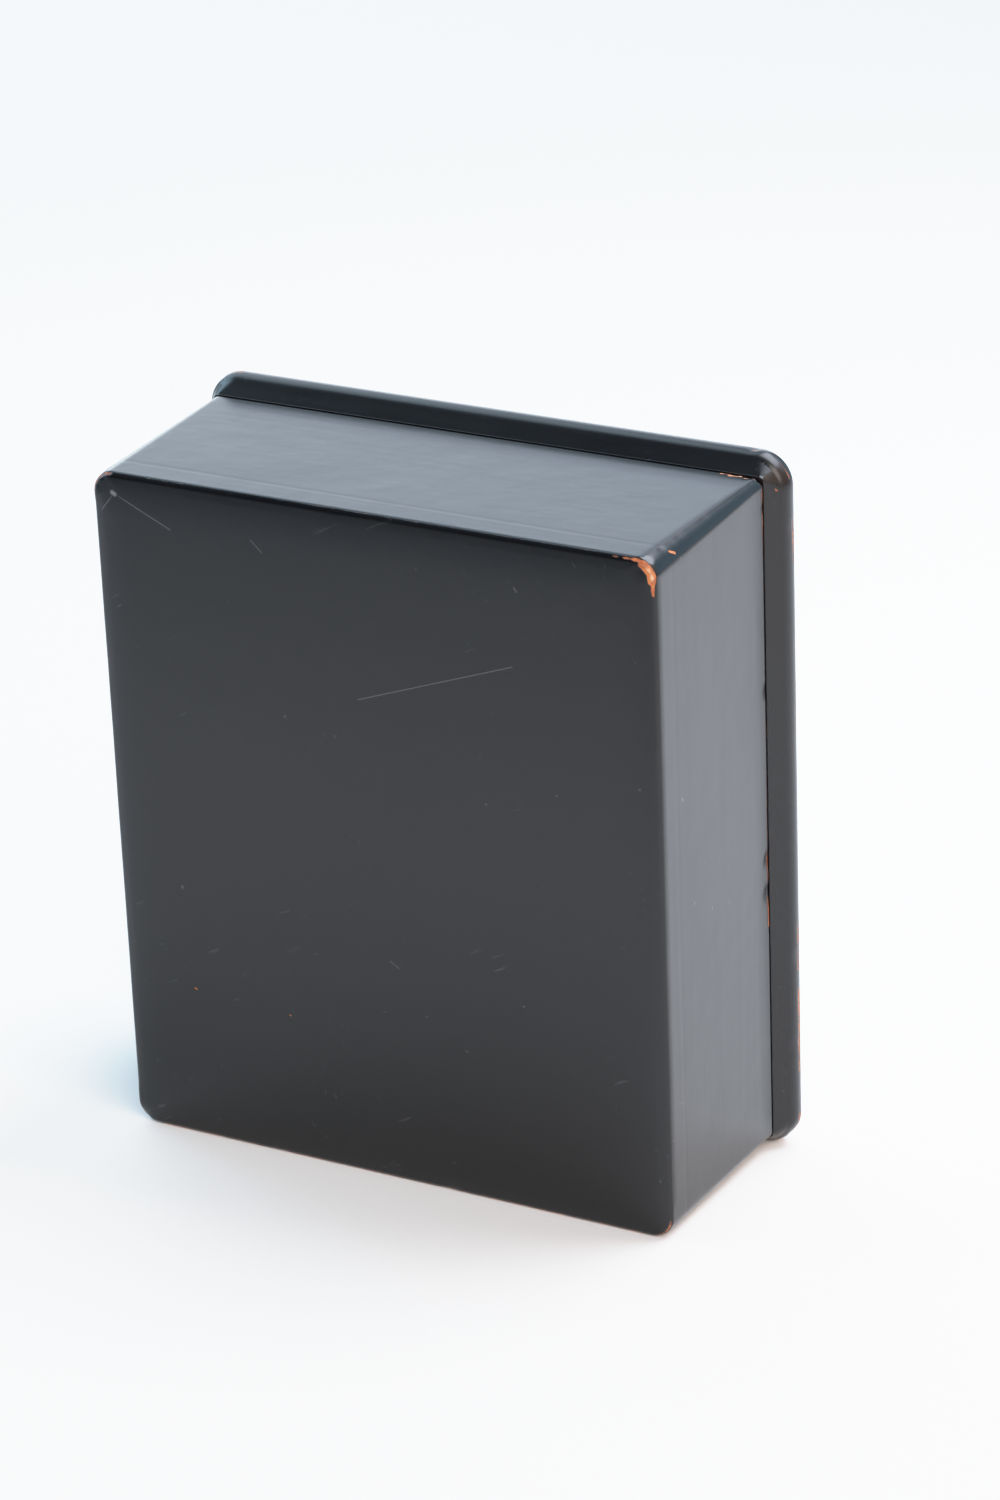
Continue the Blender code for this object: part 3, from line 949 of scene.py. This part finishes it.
def soft_box(name, place, target, width, height, power, colour):
    """A soft box: a rectangle of light at a place, facing a target."""
    light = bpy.data.lights.new(name, "AREA")
    light.shape = "RECTANGLE"
    light.size = width
    light.size_y = height
    light.energy = power
    light.color = colour
    thing = bpy.data.objects.new(name, light)
    thing.location = place
    thing.rotation_euler = (Vector(target) - Vector(place)).to_track_quat("-Z", "Y").to_euler()
    bpy.context.scene.collection.objects.link(thing)


MIDDLE = (0.0, 0.0, 0.05)
# Name, place, target, width, height, watts, colour
SOFT_BOXES = (
    ("back_left_high", (-0.95, 1.45, 1.20), MIDDLE, 1.7, 1.0, 12.4, (0.72, 0.84, 1.0)),
    ("back_left_low", (-1.05, 1.75, 0.45), MIDDLE, 1.7, 0.7, 14.0, (0.81, 0.92, 1.0)),
    ("back_right", (0.85, 1.55, 0.72), MIDDLE, 1.5, 1.5, 9.0, (0.51, 0.78, 1.0)),
    ("right_wall", (1.55, 0.30, 0.80), MIDDLE, 1.7, 1.5, 10.7, (1.0, 0.66, 0.46)),
    ("right_front", (1.25, -1.05, 0.95), MIDDLE, 1.6, 1.7, 55.6, (1.0, 0.89, 0.84)),
    ("left_wall", (-1.6, -0.10, 0.80), MIDDLE, 1.8, 1.4, 36.0, (0.54, 0.80, 1.0)),
    ("right_back_pool", (0.17, 0.19, 0.45), (0.17, 0.1901, 0.0), 0.35, 0.35, 4.1,
     (0.82, 0.88, 1.0)),
    ("overhead_left", (-0.62, 0.38, 1.22), MIDDLE, 0.6, 0.75, 4.4, (0.67, 0.86, 1.0)),
)
for entry in SOFT_BOXES:
    soft_box(*entry)
ROOM_COLOUR = (0.85, 0.93, 1.0, 1.0)
ROOM_STRENGTH = 0.04
BACKDROP_COLOUR = (0.90, 0.93, 0.95, 1.0)
BACKDROP_STRENGTH = 1.6


def make_world():
    """A dim room, pale where the camera sees it past the floor."""
    world = bpy.data.worlds.new("studio")
    bpy.context.scene.world = world
    world.use_nodes = True
    tree = world.node_tree
    tree.nodes.clear()
    room = add(tree, "ShaderNodeBackground", {"Color": ROOM_COLOUR, "Strength": ROOM_STRENGTH})
    backdrop = add(tree, "ShaderNodeBackground", {"Color": BACKDROP_COLOUR,
                                                  "Strength": BACKDROP_STRENGTH})
    seen = add(tree, "ShaderNodeLightPath").outputs["Is Camera Ray"]
    pick = add(tree, "ShaderNodeMixShader", {0: seen, 1: room.outputs[0], 2: backdrop.outputs[0]})
    out = add(tree, "ShaderNodeOutputWorld")
    feed(tree, pick.outputs[0], out.inputs["Surface"])


make_world()


def make_camera():
    """The camera where the box was seen from, with its lens."""
    data = bpy.data.cameras.new("camera")
    data.sensor_width = SENSOR_MM
    data.lens = LENS_MM
    data.clip_start = CLIP_START
    camera = bpy.data.objects.new("camera", data)
    camera.location = CAMERA_PLACE
    camera.rotation_euler = tuple(math.radians(angle) for angle in CAMERA_TURN_DEGREES)
    bpy.context.scene.collection.objects.link(camera)
    bpy.context.scene.camera = camera


make_camera()

# Light against how bright it shows, over WHITE_LEVEL
WHITE_LEVEL = 2.0
TONES = ((0.10, 0.20), (0.20, 0.395), (0.35, 0.66), (0.50, 0.855), (0.65, 0.925), (0.80, 0.955))
BRIGHTEST = 0.975


def soften_whites():
    """Shows light up to twice white: the darks stay as they are, the brightest parts are eased."""
    view = bpy.context.scene.view_settings
    view.view_transform = "Standard"
    view.use_curve_mapping = True
    view.curve_mapping.white_level = (WHITE_LEVEL, WHITE_LEVEL, WHITE_LEVEL)
    line = view.curve_mapping.curves[3].points
    line[0].location = (0.0, 0.0)
    line[1].location = (1.0, BRIGHTEST)
    for light, shown in TONES:
        line.new(light, shown)
    view.curve_mapping.update()


soften_whites()

bpy.context.view_layer.update()
